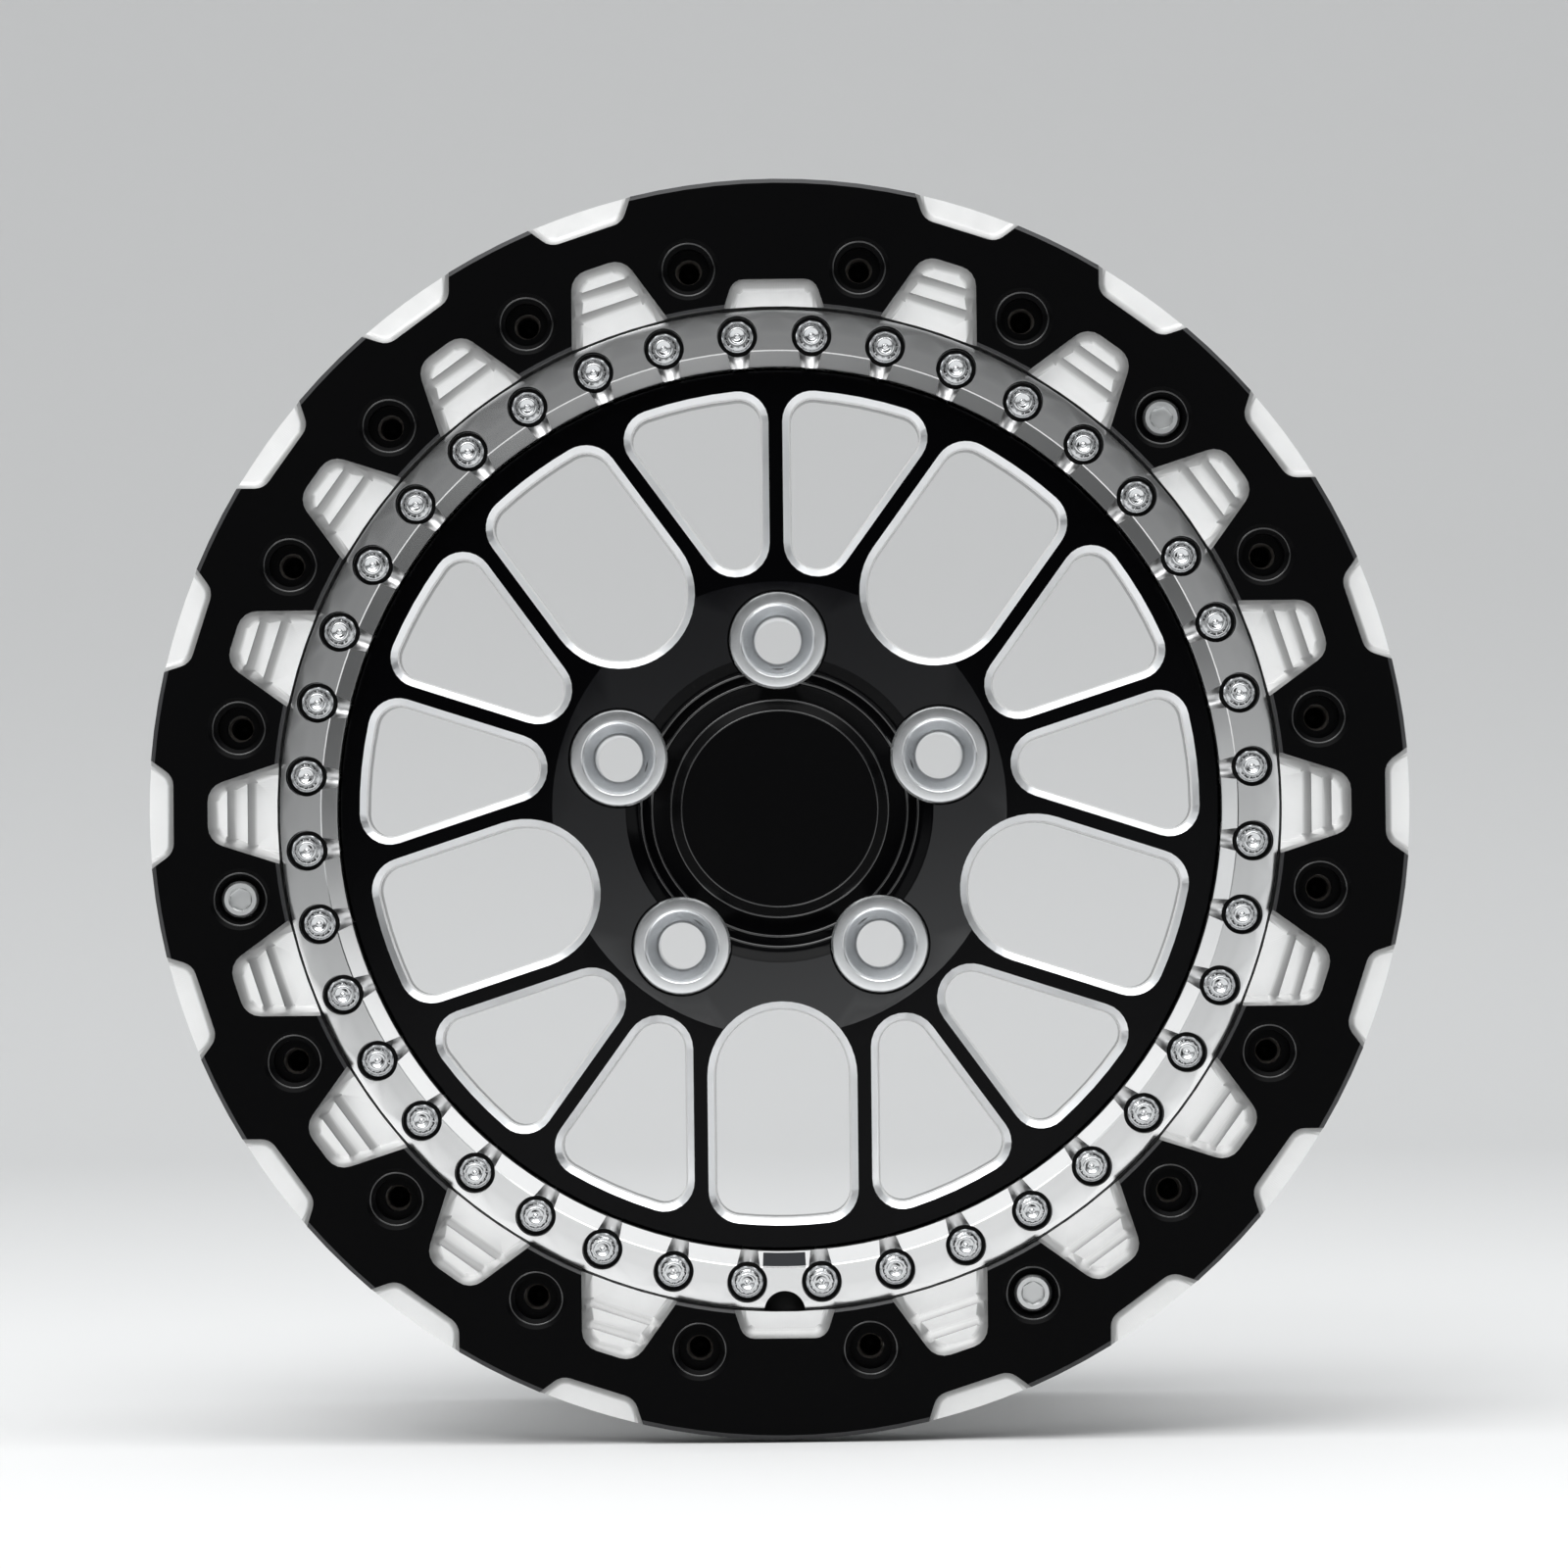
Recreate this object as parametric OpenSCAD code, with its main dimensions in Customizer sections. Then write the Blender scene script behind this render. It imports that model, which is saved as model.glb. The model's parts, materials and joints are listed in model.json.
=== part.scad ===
// A three-piece beadlock wheel for a five-lug hub, shown without its tyre.
// Each piece is drawn about +Z, which runs outboard along the axle, and is then turned so
// that the wheel's face looks along -Y. Height 0 is the face that meets the hub.

/* [Clamp ring] */
// Outer diameter of the clamp ring
ring_d = 425; // [421:0.5:430]
// Thickness of the clamp ring
ring_t = 16; // [14:0.5:20]
// Chamfer on the outer edges of the clamp ring
ring_chamfer = 1.5; // [0.5:0.1:2.5]
// Number of clamp ring bolts
ring_bolts = 20; // [16:4:24]
// Bolt circle diameter of the clamp ring
ring_pcd = 368.5; // [366:0.5:371]
// Diameter of the shallow dish round each clamp ring hole
ring_dish_d = 20.8; // [19:0.2:22]
// Diameter of the counterbore in the clamp ring
ring_bore_d = 17.6; // [16:0.2:18.6]
// Diameter of the step at the foot of that counterbore
ring_step_d = 14.4; // [13.6:0.2:15.4]
// Depth of the bolt head seat below the ring's face
ring_seat_depth = 9.5; // [8:0.5:11]
// Diameter of the clearance hole in the clamp ring
ring_hole_d = 9; // [8.6:0.1:10]

/* [Pockets in the clamp ring] */
// Distance from the axle to the outer end of a tall pocket
pocket_end_r = 192.6; // [190:0.2:196]
// Half the width of a pocket at the ring's inner edge
pocket_half_w = 16.6; // [15:0.1:18]
// Angle between a pocket's side and its centre line
pocket_side_angle = 18; // [12:1:22]
// Corner radius at the outer end of a pocket
pocket_corner_r = 7; // [5:0.5:9]
// Nose radius of the cutter that mills the pockets
pocket_nose_r = 3.6; // [2.4:0.1:3.8]
// Drop from one floor of a pocket to the next
pocket_drop = 2.6; // [1.5:0.1:2.8]
// Distance from the axle to the foot of the first drop
pocket_step_1_r = 183.2; // [182:0.1:185]
// Distance from the axle to the foot of the second drop
pocket_step_2_r = 176.6; // [175:0.1:178]
// Distance from the axle to the outer end of the two short pockets
short_pocket_r = 178.4; // [176:0.2:182]

/* [Notches in the clamp ring] */
// Distance from the axle to the floor line of an edge notch
notch_r = 204.1; // [202:0.1:207]
// Half the width of a notch at its floor line
notch_half_w = 12.8; // [10:0.1:14]
// Angle between a notch's side and its centre line
notch_side_angle = 36; // [25:1:45]
// Corner radius of a notch
notch_corner_r = 6; // [4:0.5:8]
// Nose radius of the cutter that mills the notches
notch_nose_r = 2.7; // [1.5:0.1:3.5]
// Depth of a notch
notch_depth = 4; // [3:0.1:6]

/* [Rim halves] */
// Diameter of the bead seats
bead_seat_d = 380; // [379:0.5:381]
// Width between the bead flanges
rim_w = 203; // [190:1:230]
// Wall of the barrel
barrel_wall = 4; // [3.2:0.1:6]
// Outer diameter of the barrel's well
well_d = 346; // [344:1:352]
// Outer diameter of the bead flanges
flange_d = 414; // [410:1:416]
// Inner diameter of the silver bolt flange
lip_d = 299.2; // [298.8:0.1:300]
// Diameter of the small step inside the bolt heads
step_d = 309.8; // [308:0.1:311]
// Outer diameter of the raised silver flange
pilot_d = 338.6; // [338:0.1:340]
// Height of the flange's face above the clamp ring's seat
pilot_h = 7; // [6:0.5:9]
// Diameter of the valve opening
valve_d = 13.9; // [12:0.1:15]

/* [Bolts round the centre] */
// Number of bolts round the centre
rim_bolts = 40; // [30:5:40]
// Bolt circle diameter of those bolts
rim_pcd = 321; // [320:0.5:322]
// Diameter of their counterbores
rim_bore_d = 13.7; // [13:0.1:14.4]
// Diameter of the head's flange
rim_head_d = 10.6; // [9.6:0.1:11.4]
// Across-flats width of the twelve-point head
rim_point_w = 6.8; // [6:0.1:7.6]
// Height of the bolt head
rim_head_h = 6; // [5:0.1:7]
// Thread diameter of the bolts round the centre
rim_thread_d = 6; // [5:0.1:6.6]

/* [Wheel centre] */
// Thickness of the centre at the hub
hub_t = 40; // [37:0.5:46]
// Diameter of the flat pad round the lugs
pad_d = 154; // [148:1:160]
// Slope of the spokes away from the pad
spoke_slope = 2.6; // [1.5:0.1:3.5]
// Thickness of the centre's bolting flange
centre_flange_t = 10; // [8:0.5:12]
// Outer diameter of the centre
centre_d = 340; // [338:0.5:342]
// Diameter of the hub bore
hub_bore_d = 67.1; // [60:0.1:69]
// Diameter of the bore that the cap is pushed into
cap_bore_d = 71.4; // [71:0.1:72]
// Lug circle diameter
lug_pcd = 114.3; // [112:0.1:116]
// Number of lugs
lugs = 5; // [4:1:5]

/* [Windows] */
// Width of a large window
window_w = 50.8; // [48:0.2:52]
// Distance from the axle to the inner end of a large window
window_in_r = 65.3; // [64:0.1:68]
// Distance from the axle to the outer end of a large window
window_out_r = 141.2; // [138:0.1:143]
// Outer corner radius of a large window
window_corner_r = 11.2; // [7:0.1:13]
// Width of a spoke's black face
spoke_w = 4.7; // [4:0.1:6]
// Distance from the axle to the outer end of a small window
small_out_r = 142.4; // [140:0.1:144]
// Inner corner radius of a small window
small_in_corner_r = 11.6; // [8:0.1:13]
// Outer corner radius of a small window
small_corner_r = 10.3; // [6:0.1:11]
// Width of the bevel round a window
bevel_w = 2.2; // [1.5:0.1:2.6]
// Width of the narrow inner bevel
inner_bevel_w = 0.6; // [0.3:0.1:1]

/* [Lug inserts and cap] */
// Diameter of a lug insert's head
insert_d = 33.1; // [31:0.1:34]
// Diameter of a lug insert's shank
insert_shank_d = 22; // [20:0.5:25]
// Thickness of a lug insert's head
insert_head_t = 9.6; // [8:0.1:12]
// Mouth diameter of the insert's cone seat
insert_cone_d = 24.4; // [22:0.1:26]
// Diameter of the lug hole
lug_hole_d = 15.8; // [14:0.1:17]
// Diameter of the cap's flat face
cap_face_d = 66.4; // [62:0.1:68]
// Outer diameter of the cap
cap_d = 74.4; // [73.4:0.1:76]
// Height of the cap above its seat
cap_h = 5.5; // [4:0.1:7]

/* [Hidden] */
$fn = 96;

// Colours
black = [0.03, 0.03, 0.035];
silver = [0.78, 0.79, 0.8];
steel = [0.7, 0.7, 0.7];
zinc = [0.72, 0.74, 0.76];
rubber = [0.05, 0.05, 0.05];

// Heights along the axle, all from the hub face
flange_back = hub_t - 18;
flange_front = flange_back + centre_flange_t;
seat_z = flange_front + 5;
face_z = seat_z + pilot_h;
ring_top = seat_z + ring_t;
shoulder_z = seat_z - 14;
inner_flange_t = 10;
nut_seat = flange_back - inner_flange_t;
rear_z = seat_z - rim_w;
eps = 0.01;
past = 1;
slip = 0.02;
gap = 0.3;

// Clamp ring
ring_in_r = pilot_d / 2 + 0.5;
pocket_depth_1 = pocket_nose_r + 0.1;
pocket_depth_2 = pocket_depth_1 + pocket_drop;
pocket_depth_3 = pocket_depth_2 + pocket_drop;
drop_w = sqrt(2 * pocket_nose_r * pocket_drop - pow(pocket_drop, 2));
short_depth = pocket_depth_2;
step_corner_r = pocket_nose_r + 0.4;
pocket_pitch = 360 / ring_bolts;
insert_len = 12;
insert_out_d = 12;
ring_thread_d = 7.3;
fitted = [2, 8, 14];

// Flange round the centre
step_h = 0.5;
lip_drop = 0.9;
washer_t = 1.2;
head_base = face_z - rim_head_h;
washer_seat = head_base - washer_t;
relief_out_r = 3.9;
relief_in_r = 2.9;
skirt_r = 186.5;
shoulder_t = 6;

// Hub
lug_r = lug_pcd / 2;
recess_floor = hub_t - 7;
plug_len = 13;
hub_bore_len = recess_floor - plug_len - 0.5;
insert_seat = hub_t + 0.6 - insert_head_t;
lug_recess_d = insert_d + 1.1;
large_pitch = 360 / lugs;
half_pitch = large_pitch / 2;
wall_inset = bevel_w + inner_bevel_w;

module turned() {
  rotate([90, 0, 0]) children();
}

module around(count, first = 0) {
  for (i = [0 : count - 1]) {
    rotate(-first - i * 360 / count) children();
  }
}

module at_hour(angle) {
  rotate(-angle) children();
}

// Points of a convex outline whose corners are [x, y, radius, steps], moved inwards by inset
function unit(v) = v / norm(v);
function turn_left(v) = [-v[1], v[0]];
function corner_arc(before, at, after, inset) =
  let (
    into = unit([at[0] - before[0], at[1] - before[1]]),
    out = unit([after[0] - at[0], after[1] - at[1]]),
    turn = acos(max(-1, min(1, into * out))),
    centre = [at[0], at[1]] - into * at[2] * tan(turn / 2) + turn_left(into) * at[2],
    start = atan2(-turn_left(into)[1], -turn_left(into)[0]),
    r = at[2] - inset
  )
  at[2] == 0 ? [centre + inset * (turn_left(into) - into * tan(turn / 2))] :
  [for (k = [0 : at[3]]) centre + r * [cos(start + turn * k / at[3]), sin(start + turn * k / at[3])]];
function all_corners(corners, inset) =
  let (n = len(corners))
  [for (i = [0 : n - 1])
    each corner_arc(corners[(i + n - 1) % n], corners[i], corners[(i + 1) % n], inset)];
function outline(corners, inset = 0) =
  let (points = all_corners(corners, inset), n = len(points))
  [for (i = [0 : n - 1]) if (norm(points[i] - points[(i + n - 1) % n]) > 0.001) points[i]];
function lift(points, z) = [for (p = points) [p[0], p[1], z]];

// A solid through rings of points, lowest ring first
module loft(rings) {
  n = len(rings[0]);
  last = len(rings) - 1;
  sides = [for (j = [0 : last - 1], i = [0 : n - 1])
    let (a = j * n + i, b = j * n + (i + 1) % n)
    each [[a, a + n, b + n], [a, b + n, b]]];
  polyhedron(
    points = [for (ring = rings) each ring],
    faces = concat([[for (i = [0 : n - 1]) i]], [[for (i = [n - 1 : -1 : 0]) last * n + i]], sides),
    convexity = 4
  );
}

// Space left by a cutter with a rounded nose, driven round a convex outline
module milled(corners, floor_z, top_z, nose_r, steps) {
  fillet = [for (k = [0 : steps])
    lift(outline(corners, nose_r * (1 - sin(90 * k / steps))),
         floor_z + nose_r * (1 - cos(90 * k / steps)))];
  loft(concat(fillet, [lift(outline(corners), top_z)]));
}

// Outline of a pocket that opens inwards, with its outer end at end_r
function pocket_corners(end_r, corner_r, steps) =
  let (
    mouth_r = ring_in_r - 8,
    lean = tan(pocket_side_angle),
    mouth_w = pocket_half_w + lean * (ring_in_r - mouth_r),
    end_w = pocket_half_w - lean * (end_r - ring_in_r)
  )
  [[mouth_w, mouth_r, 0, 0], [end_w, end_r, corner_r, steps],
   [-end_w, end_r, corner_r, steps], [-mouth_w, mouth_r, 0, 0]];

function notch_corners(steps) =
  let (
    open_r = ring_d / 2 + 4,
    open_w = notch_half_w + tan(notch_side_angle) * (open_r - notch_r)
  )
  [[notch_half_w, notch_r, notch_corner_r, steps], [open_w, open_r, 0, 0],
   [-open_w, open_r, 0, 0], [-notch_half_w, notch_r, notch_corner_r, steps]];

// Joins cutters into one closed surface; a resize of nothing leaves their size alone
module joined() {
  resize([0, 0, 0]) union() children();
}

// Beadlock ring
module tall_pocket() {
  joined() {
    milled(pocket_corners(pocket_end_r, pocket_corner_r, 4), ring_top - pocket_depth_1,
           ring_top + past, pocket_nose_r, 3);
    milled(pocket_corners(pocket_step_1_r + drop_w, step_corner_r, 3), ring_top - pocket_depth_2,
           ring_top + past / 2, pocket_nose_r, 2);
    milled(pocket_corners(pocket_step_2_r + drop_w, step_corner_r, 3), ring_top - pocket_depth_3,
           ring_top + past / 3, pocket_nose_r, 2);
  }
}

module short_pocket() {
  milled(pocket_corners(short_pocket_r, pocket_corner_r - 2, 4), ring_top - short_depth,
         ring_top + past, pocket_nose_r, 3);
}

module edge_notch() {
  milled(notch_corners(4), ring_top - notch_depth, ring_top + past, notch_nose_r, 3);
}

module ring_hole() {
  seat = ring_top - ring_seat_depth;
  rotate_extrude() polygon([
    [0, seat_z - past], [ring_hole_d / 2, seat_z - past], [ring_hole_d / 2, seat],
    [ring_step_d / 2, seat], [ring_step_d / 2, ring_top - 3.4], [ring_bore_d / 2, ring_top - 2.2],
    [ring_bore_d / 2, ring_top - 1.3], [ring_dish_d / 2 - 0.6, ring_top - 0.5],
    [ring_dish_d / 2, ring_top], [ring_dish_d / 2, ring_top + past], [0, ring_top + past]
  ]);
}

module beadlock_ring() {
  out_r = ring_d / 2;
  color(black) difference() {
    rotate_extrude($fn = 180) polygon([
      [ring_in_r, seat_z], [out_r - 3, seat_z], [out_r, seat_z + 3], [out_r, ring_top - ring_chamfer],
      [out_r - ring_chamfer, ring_top], [ring_in_r + 0.9, ring_top], [ring_in_r, ring_top - 0.9]
    ]);
    around(ring_bolts, pocket_pitch / 2) translate([0, ring_pcd / 2]) ring_hole();
    for (i = [0 : ring_bolts - 1]) {
      at_hour(i * pocket_pitch) {
        if (i % (ring_bolts / 2) == 0) {
          short_pocket();
        } else {
          tall_pocket();
          edge_notch();
        }
      }
    }
  }
}

// Socket-head bolt of the clamp ring
module ring_bolt() {
  head_r = 6.2;
  head_h = 8;
  seat = ring_top - ring_seat_depth;
  socket_w = 6.8;
  bolt_end = seat_z - insert_len + 0.5;
  translate([0, ring_pcd / 2]) difference() {
    rotate_extrude() polygon([
      [0, bolt_end], [ring_thread_d / 2 - 1, bolt_end], [ring_thread_d / 2 - slip, bolt_end + 1],
      [ring_thread_d / 2 - slip, seat_z + 1], [4, seat_z + 1.5], [4, seat], [head_r, seat],
      [head_r, seat + head_h - 0.8], [head_r - 0.8, seat + head_h], [0, seat + head_h]
    ]);
    translate([0, 0, seat + head_h - 4]) cylinder(d = socket_w / cos(30), h = 4 + past, $fn = 6);
    translate([0, 0, seat + head_h - 0.6])
      cylinder(r1 = socket_w / 2, r2 = socket_w / 2 + 0.9, h = 0.9);
  }
}

module fitted_ring_bolt(number) {
  color(steel) at_hour(pocket_pitch * (fitted[number - 1] + 0.5)) ring_bolt();
}

// Threaded steel inserts that the ring bolts screw into
module thread_inserts() {
  r = insert_out_d / 2 - slip;
  color(steel) around(ring_bolts, pocket_pitch / 2) translate([0, ring_pcd / 2])
    rotate_extrude() polygon([
      [ring_thread_d / 2, seat_z - insert_len], [r, seat_z - insert_len], [r, seat_z],
      [ring_thread_d / 2 + 0.8, seat_z], [ring_thread_d / 2, seat_z - 0.8]
    ]);
}

// Outer rim half, with the raised bolt flange, the ring's seat and the outer bead seat
module outer_rim_profile() {
  lip_r = lip_d / 2;
  step_r = step_d / 2;
  pilot_r = pilot_d / 2;
  bead_r = bead_seat_d / 2;
  shoulder_r = flange_d / 2 - 1;
  register_r = centre_d / 2 + gap;
  polygon([
    [lip_r, flange_front], [register_r, flange_front], [register_r, flange_back],
    [skirt_r, flange_back], [skirt_r, shoulder_z - 9], [bead_r - 1, shoulder_z - 9],
    [bead_r + 1.5, shoulder_z - shoulder_t], [shoulder_r - 2, shoulder_z - shoulder_t],
    [shoulder_r, shoulder_z - shoulder_t + 2], [shoulder_r, shoulder_z - 1],
    [shoulder_r - 1, shoulder_z], [bead_r, shoulder_z], [bead_r, seat_z - 1.5],
    [bead_r - 1.5, seat_z], [pilot_r, seat_z], [pilot_r, face_z - 0.5],
    [pilot_r - 0.3, face_z - 0.2], [pilot_r - 1.55, face_z], [step_r + 0.4, face_z],
    [step_r, face_z - step_h], [lip_r + 0.4, face_z - lip_drop], [lip_r, face_z - lip_drop - 0.4]
  ]);
}

// Hole for a thread insert, with the cone that its drill leaves
module insert_hole() {
  drill_r = ring_thread_d / 2;
  floor_z = seat_z - insert_len;
  rotate_extrude() polygon([
    [0, floor_z - 2.4], [drill_r, floor_z - 0.2], [drill_r, floor_z], [insert_out_d / 2, floor_z],
    [insert_out_d / 2, seat_z + past], [0, seat_z + past]
  ]);
}

module outer_rim() {
  color(silver) difference() {
    rotate_extrude($fn = 180) outer_rim_profile();
    around(rim_bolts, 180 / rim_bolts) {
      translate([0, rim_pcd / 2, washer_seat]) cylinder(d = rim_bore_d, h = 20);
      translate([0, rim_pcd / 2, flange_front - past]) cylinder(d = rim_thread_d + 0.4, h = 20);
      translate([0, lip_d / 2 + 7, face_z - 0.4]) rotate([90, 0, 0])
        cylinder(r1 = relief_out_r + 0.3, r2 = relief_in_r - 0.3, h = 9, $fn = 64);
    }
    around(ring_bolts, pocket_pitch / 2) translate([0, ring_pcd / 2]) insert_hole();
    at_hour(180) translate([0, pilot_d / 2 + 0.6, flange_back - past]) cylinder(d = valve_d, h = 40);
  }
}

// Inner rim half: the bolting flange, the well and the inner bead seat
module inner_rim_profile() {
  in_r = lip_d / 2 + 2;
  seat_r = bead_seat_d / 2;
  well_r = well_d / 2;
  fit_r = skirt_r - gap;
  edge_r = flange_d / 2;
  polygon([
    [in_r, flange_back], [fit_r, flange_back], [fit_r, shoulder_z - 9], [fit_r - 3, shoulder_z - 14],
    [well_r + 1, -8], [well_r, -12],
    [well_r, rear_z + 62], [well_r + 1.2, rear_z + 58], [seat_r - 5, rear_z + 38],
    [seat_r - 3.6, rear_z + 34], [seat_r - 3.6, rear_z + 27], [seat_r - 0.6, rear_z + 25],
    [seat_r - 0.2, rear_z + 23], [seat_r - 1.6, rear_z + 20],
    [seat_r, rear_z + 3], [seat_r + 3, rear_z],
    [edge_r - 5, rear_z], [edge_r - 1.5, rear_z - 1.2], [edge_r, rear_z - 4],
    [edge_r, rear_z - 8], [edge_r - 1, rear_z - 9.6], [edge_r - 3, rear_z - 10],
    [edge_r - 4.2, rear_z - 9], [edge_r - 4.8, rear_z - 7], [edge_r - 7, rear_z - 5],
    [seat_r + 4, rear_z - 5], [seat_r - 1, rear_z - 4], [seat_r - barrel_wall, rear_z + 1],
    [seat_r - barrel_wall - 1.4, rear_z + 20], [seat_r - barrel_wall - 3.6, rear_z + 26],
    [seat_r - barrel_wall - 3.8, rear_z + 36], [seat_r - barrel_wall - 5.4, rear_z + 39],
    [well_r - barrel_wall + 1, rear_z + 60], [well_r - barrel_wall, rear_z + 63],
    [well_r - barrel_wall, -12], [well_r - barrel_wall + 1, -8],
    [fit_r - 8, nut_seat - 6], [fit_r - 12, nut_seat], [in_r, nut_seat]
  ]);
}

module inner_rim() {
  color(silver) difference() {
    rotate_extrude($fn = 180) inner_rim_profile();
    around(rim_bolts, 180 / rim_bolts) translate([0, rim_pcd / 2, nut_seat - past])
      cylinder(d = rim_thread_d + 0.4, h = inner_flange_t + 2 * past);
    translate([0, 0, flange_back - 1.6]) difference() {
      cylinder(r = 176.4, h = 1.6 + past);
      translate([0, 0, -past]) cylinder(r = 173.2, h = 6);
    }
  }
}

module rim_seal() {
  color(rubber) translate([0, 0, flange_back - 0.8]) rotate_extrude($fn = 180)
    translate([174.8, 0]) circle(r = 0.8, $fn = 24);
}

// Wheel centre
function face_at(p) = hub_t - max(0, norm([p[0], p[1]]) - pad_d / 2) * tan(spoke_slope);
function drape(points, drop) = [for (p = points) [p[0], p[1], face_at(p) - drop]];

// Splits the long sides of a closed outline, so that it can follow the sloping face
function side_parts(points, longest) =
  let (n = len(points))
  [for (i = [0 : n - 1]) ceil(norm(points[(i + 1) % n] - points[i]) / longest)];
function split_sides(points, parts) =
  let (n = len(points))
  [for (i = [0 : n - 1])
    let (a = points[i], b = points[(i + 1) % n])
    each [for (k = [0 : parts[i] - 1]) a + (b - a) * k / parts[i]]];

// Corner where the tangent of a circle at an angle meets a line, given as normal and distance
function meet(r, angle, normal, distance) =
  let (t = [sin(angle), cos(angle)], det = t[0] * normal[1] - t[1] * normal[0])
  [(r * normal[1] - t[1] * distance) / det, (t[0] * distance - r * normal[0]) / det];

function large_window() =
  let (
    w = window_w / 2,
    reach = asin((w - window_corner_r) / (window_out_r - window_corner_r)),
    top_right = meet(window_out_r, reach, [1, 0], w),
    crown = window_out_r / cos(reach)
  )
  [[w, window_in_r, w, 12], [top_right[0], top_right[1], window_corner_r, 8],
   [0, crown, window_out_r, 5], [-top_right[0], top_right[1], window_corner_r, 8],
   [-w, window_in_r, w, 12]];

function small_window() =
  let (
    side = spoke_w / 2,
    slant = [cos(half_pitch), -sin(half_pitch)],
    slant_d = -(window_w / 2 + spoke_w),
    foot_y = (side * slant[0] - slant_d) / -slant[1],
    corner_at = small_out_r - small_corner_r,
    left = asin((side + small_corner_r) / corner_at),
    right = half_pitch + asin((slant_d - small_corner_r) / corner_at),
    middle = (left + right) / 2,
    reach = (right - left) / 2,
    top_left = meet(small_out_r, middle - reach, [1, 0], side),
    top_right = meet(small_out_r, middle + reach, slant, slant_d),
    crown = small_out_r / cos(reach)
  )
  [[side, foot_y, small_in_corner_r, 11],
   [top_right[0], top_right[1], small_corner_r, 8],
   [crown * sin(middle), crown * cos(middle), small_out_r, 4],
   [top_left[0], top_left[1], small_corner_r, 8]];

module window_cut(corners) {
  parts = side_parts(outline(corners), 22);
  bevel_h = bevel_w * 0.85;
  wall = split_sides(outline(corners, wall_inset), parts);
  edge = split_sides(outline(corners, bevel_w), parts);
  mouth = split_sides(outline(corners, -0.4), parts);
  loft([lift(wall, -past), drape(wall, bevel_h + 2), drape(edge, bevel_h), drape(mouth, -0.34),
        lift(mouth, hub_t + 3)]);
}

module wheel_centre() {
  out_r = centre_d / 2;
  pad_r = pad_d / 2;
  front_edge = lip_d / 2 - 0.8;
  edge_z = hub_t - (front_edge - pad_r) * tan(spoke_slope);
  color(black) difference() {
    rotate_extrude($fn = 180) polygon([
      [hub_bore_d / 2 + 0.5, 0], [76, 0], [78, 2], [92, 18], [96, 20], [143.5, 20], [147, flange_back],
      [out_r, flange_back], [out_r, flange_front - 0.5], [out_r - 0.5, flange_front],
      [lip_d / 2 + 0.1, flange_front], [front_edge, edge_z], [pad_r, hub_t], [52.2, hub_t],
      [51.4, hub_t - 0.4], [48, hub_t - 3.6], [46.8, hub_t - 3.9], [46.2, hub_t - 4.4],
      [44, hub_t - 6.4], [42.4, recess_floor], [cap_bore_d / 2 + 0.5, recess_floor],
      [cap_bore_d / 2, recess_floor - 0.5], [cap_bore_d / 2, hub_bore_len],
      [hub_bore_d / 2, hub_bore_len], [hub_bore_d / 2, 0.5]
    ]);
    around(rim_bolts, 180 / rim_bolts) translate([0, rim_pcd / 2, flange_back - past])
      cylinder(d = rim_thread_d + 0.4, h = centre_flange_t + 2 * past);
    around(lugs) translate([0, lug_r]) {
      translate([0, 0, insert_seat]) cylinder(d = lug_recess_d, h = insert_head_t + past);
      translate([0, 0, -past]) cylinder(d = insert_shank_d, h = hub_t);
    }
    around(lugs, half_pitch) window_cut(large_window());
    around(lugs) {
      window_cut(small_window());
      mirror([1, 0]) window_cut(small_window());
    }
    at_hour(180) translate([0, pilot_d / 2 + 0.6, flange_back - past]) cylinder(d = valve_d, h = 40);
  }
}

// Fasteners round the centre
module perimeter_bolt() {
  base_r = rim_head_d / 2;
  thread_r = rim_thread_d / 2;
  end = nut_seat - 8;
  difference() {
    union() {
      rotate_extrude($fn = 48) polygon([
        [0, end], [thread_r - 0.9, end], [thread_r - 0.35, end + 0.6],
        [thread_r - 0.35, nut_seat + 1], [thread_r, nut_seat + 1.4], [thread_r, head_base],
        [base_r - 0.3, head_base], [base_r, head_base + 0.3], [base_r, head_base + 0.9],
        [base_r - 1.6, head_base + 2], [0, head_base + 2]
      ]);
      for (a = [0, 30]) {
        rotate(a) translate([0, 0, head_base + 1.5])
          cylinder(d = rim_point_w / cos(30), h = rim_head_h - 1.5, $fn = 6);
      }
    }
    translate([0, 0, face_z - 0.9]) cylinder(r1 = 1.8, r2 = 2.5, h = 0.9 + eps, $fn = 48);
  }
}

module perimeter_bolts() {
  color(zinc) around(rim_bolts, 180 / rim_bolts) translate([0, rim_pcd / 2]) perimeter_bolt();
}

module perimeter_washers() {
  color(black) around(rim_bolts, 180 / rim_bolts) translate([0, rim_pcd / 2, washer_seat])
    difference() {
      cylinder(d = rim_bore_d - 0.3, h = washer_t, $fn = 48);
      translate([0, 0, -past]) cylinder(d = rim_thread_d + 0.3, h = 5, $fn = 48);
    }
}

module perimeter_nuts() {
  color(zinc) around(rim_bolts, 180 / rim_bolts) translate([0, rim_pcd / 2, nut_seat - 6])
    difference() {
      union() {
        translate([0, 0, 4.8]) cylinder(d = 11.4, h = 1.2, $fn = 48);
        for (a = [0, 30]) {
          rotate(a) cylinder(d = 8 / cos(30), h = 5, $fn = 6);
        }
      }
      translate([0, 0, -past]) cylinder(d = rim_thread_d - 0.66, h = 9, $fn = 48);
    }
}

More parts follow.
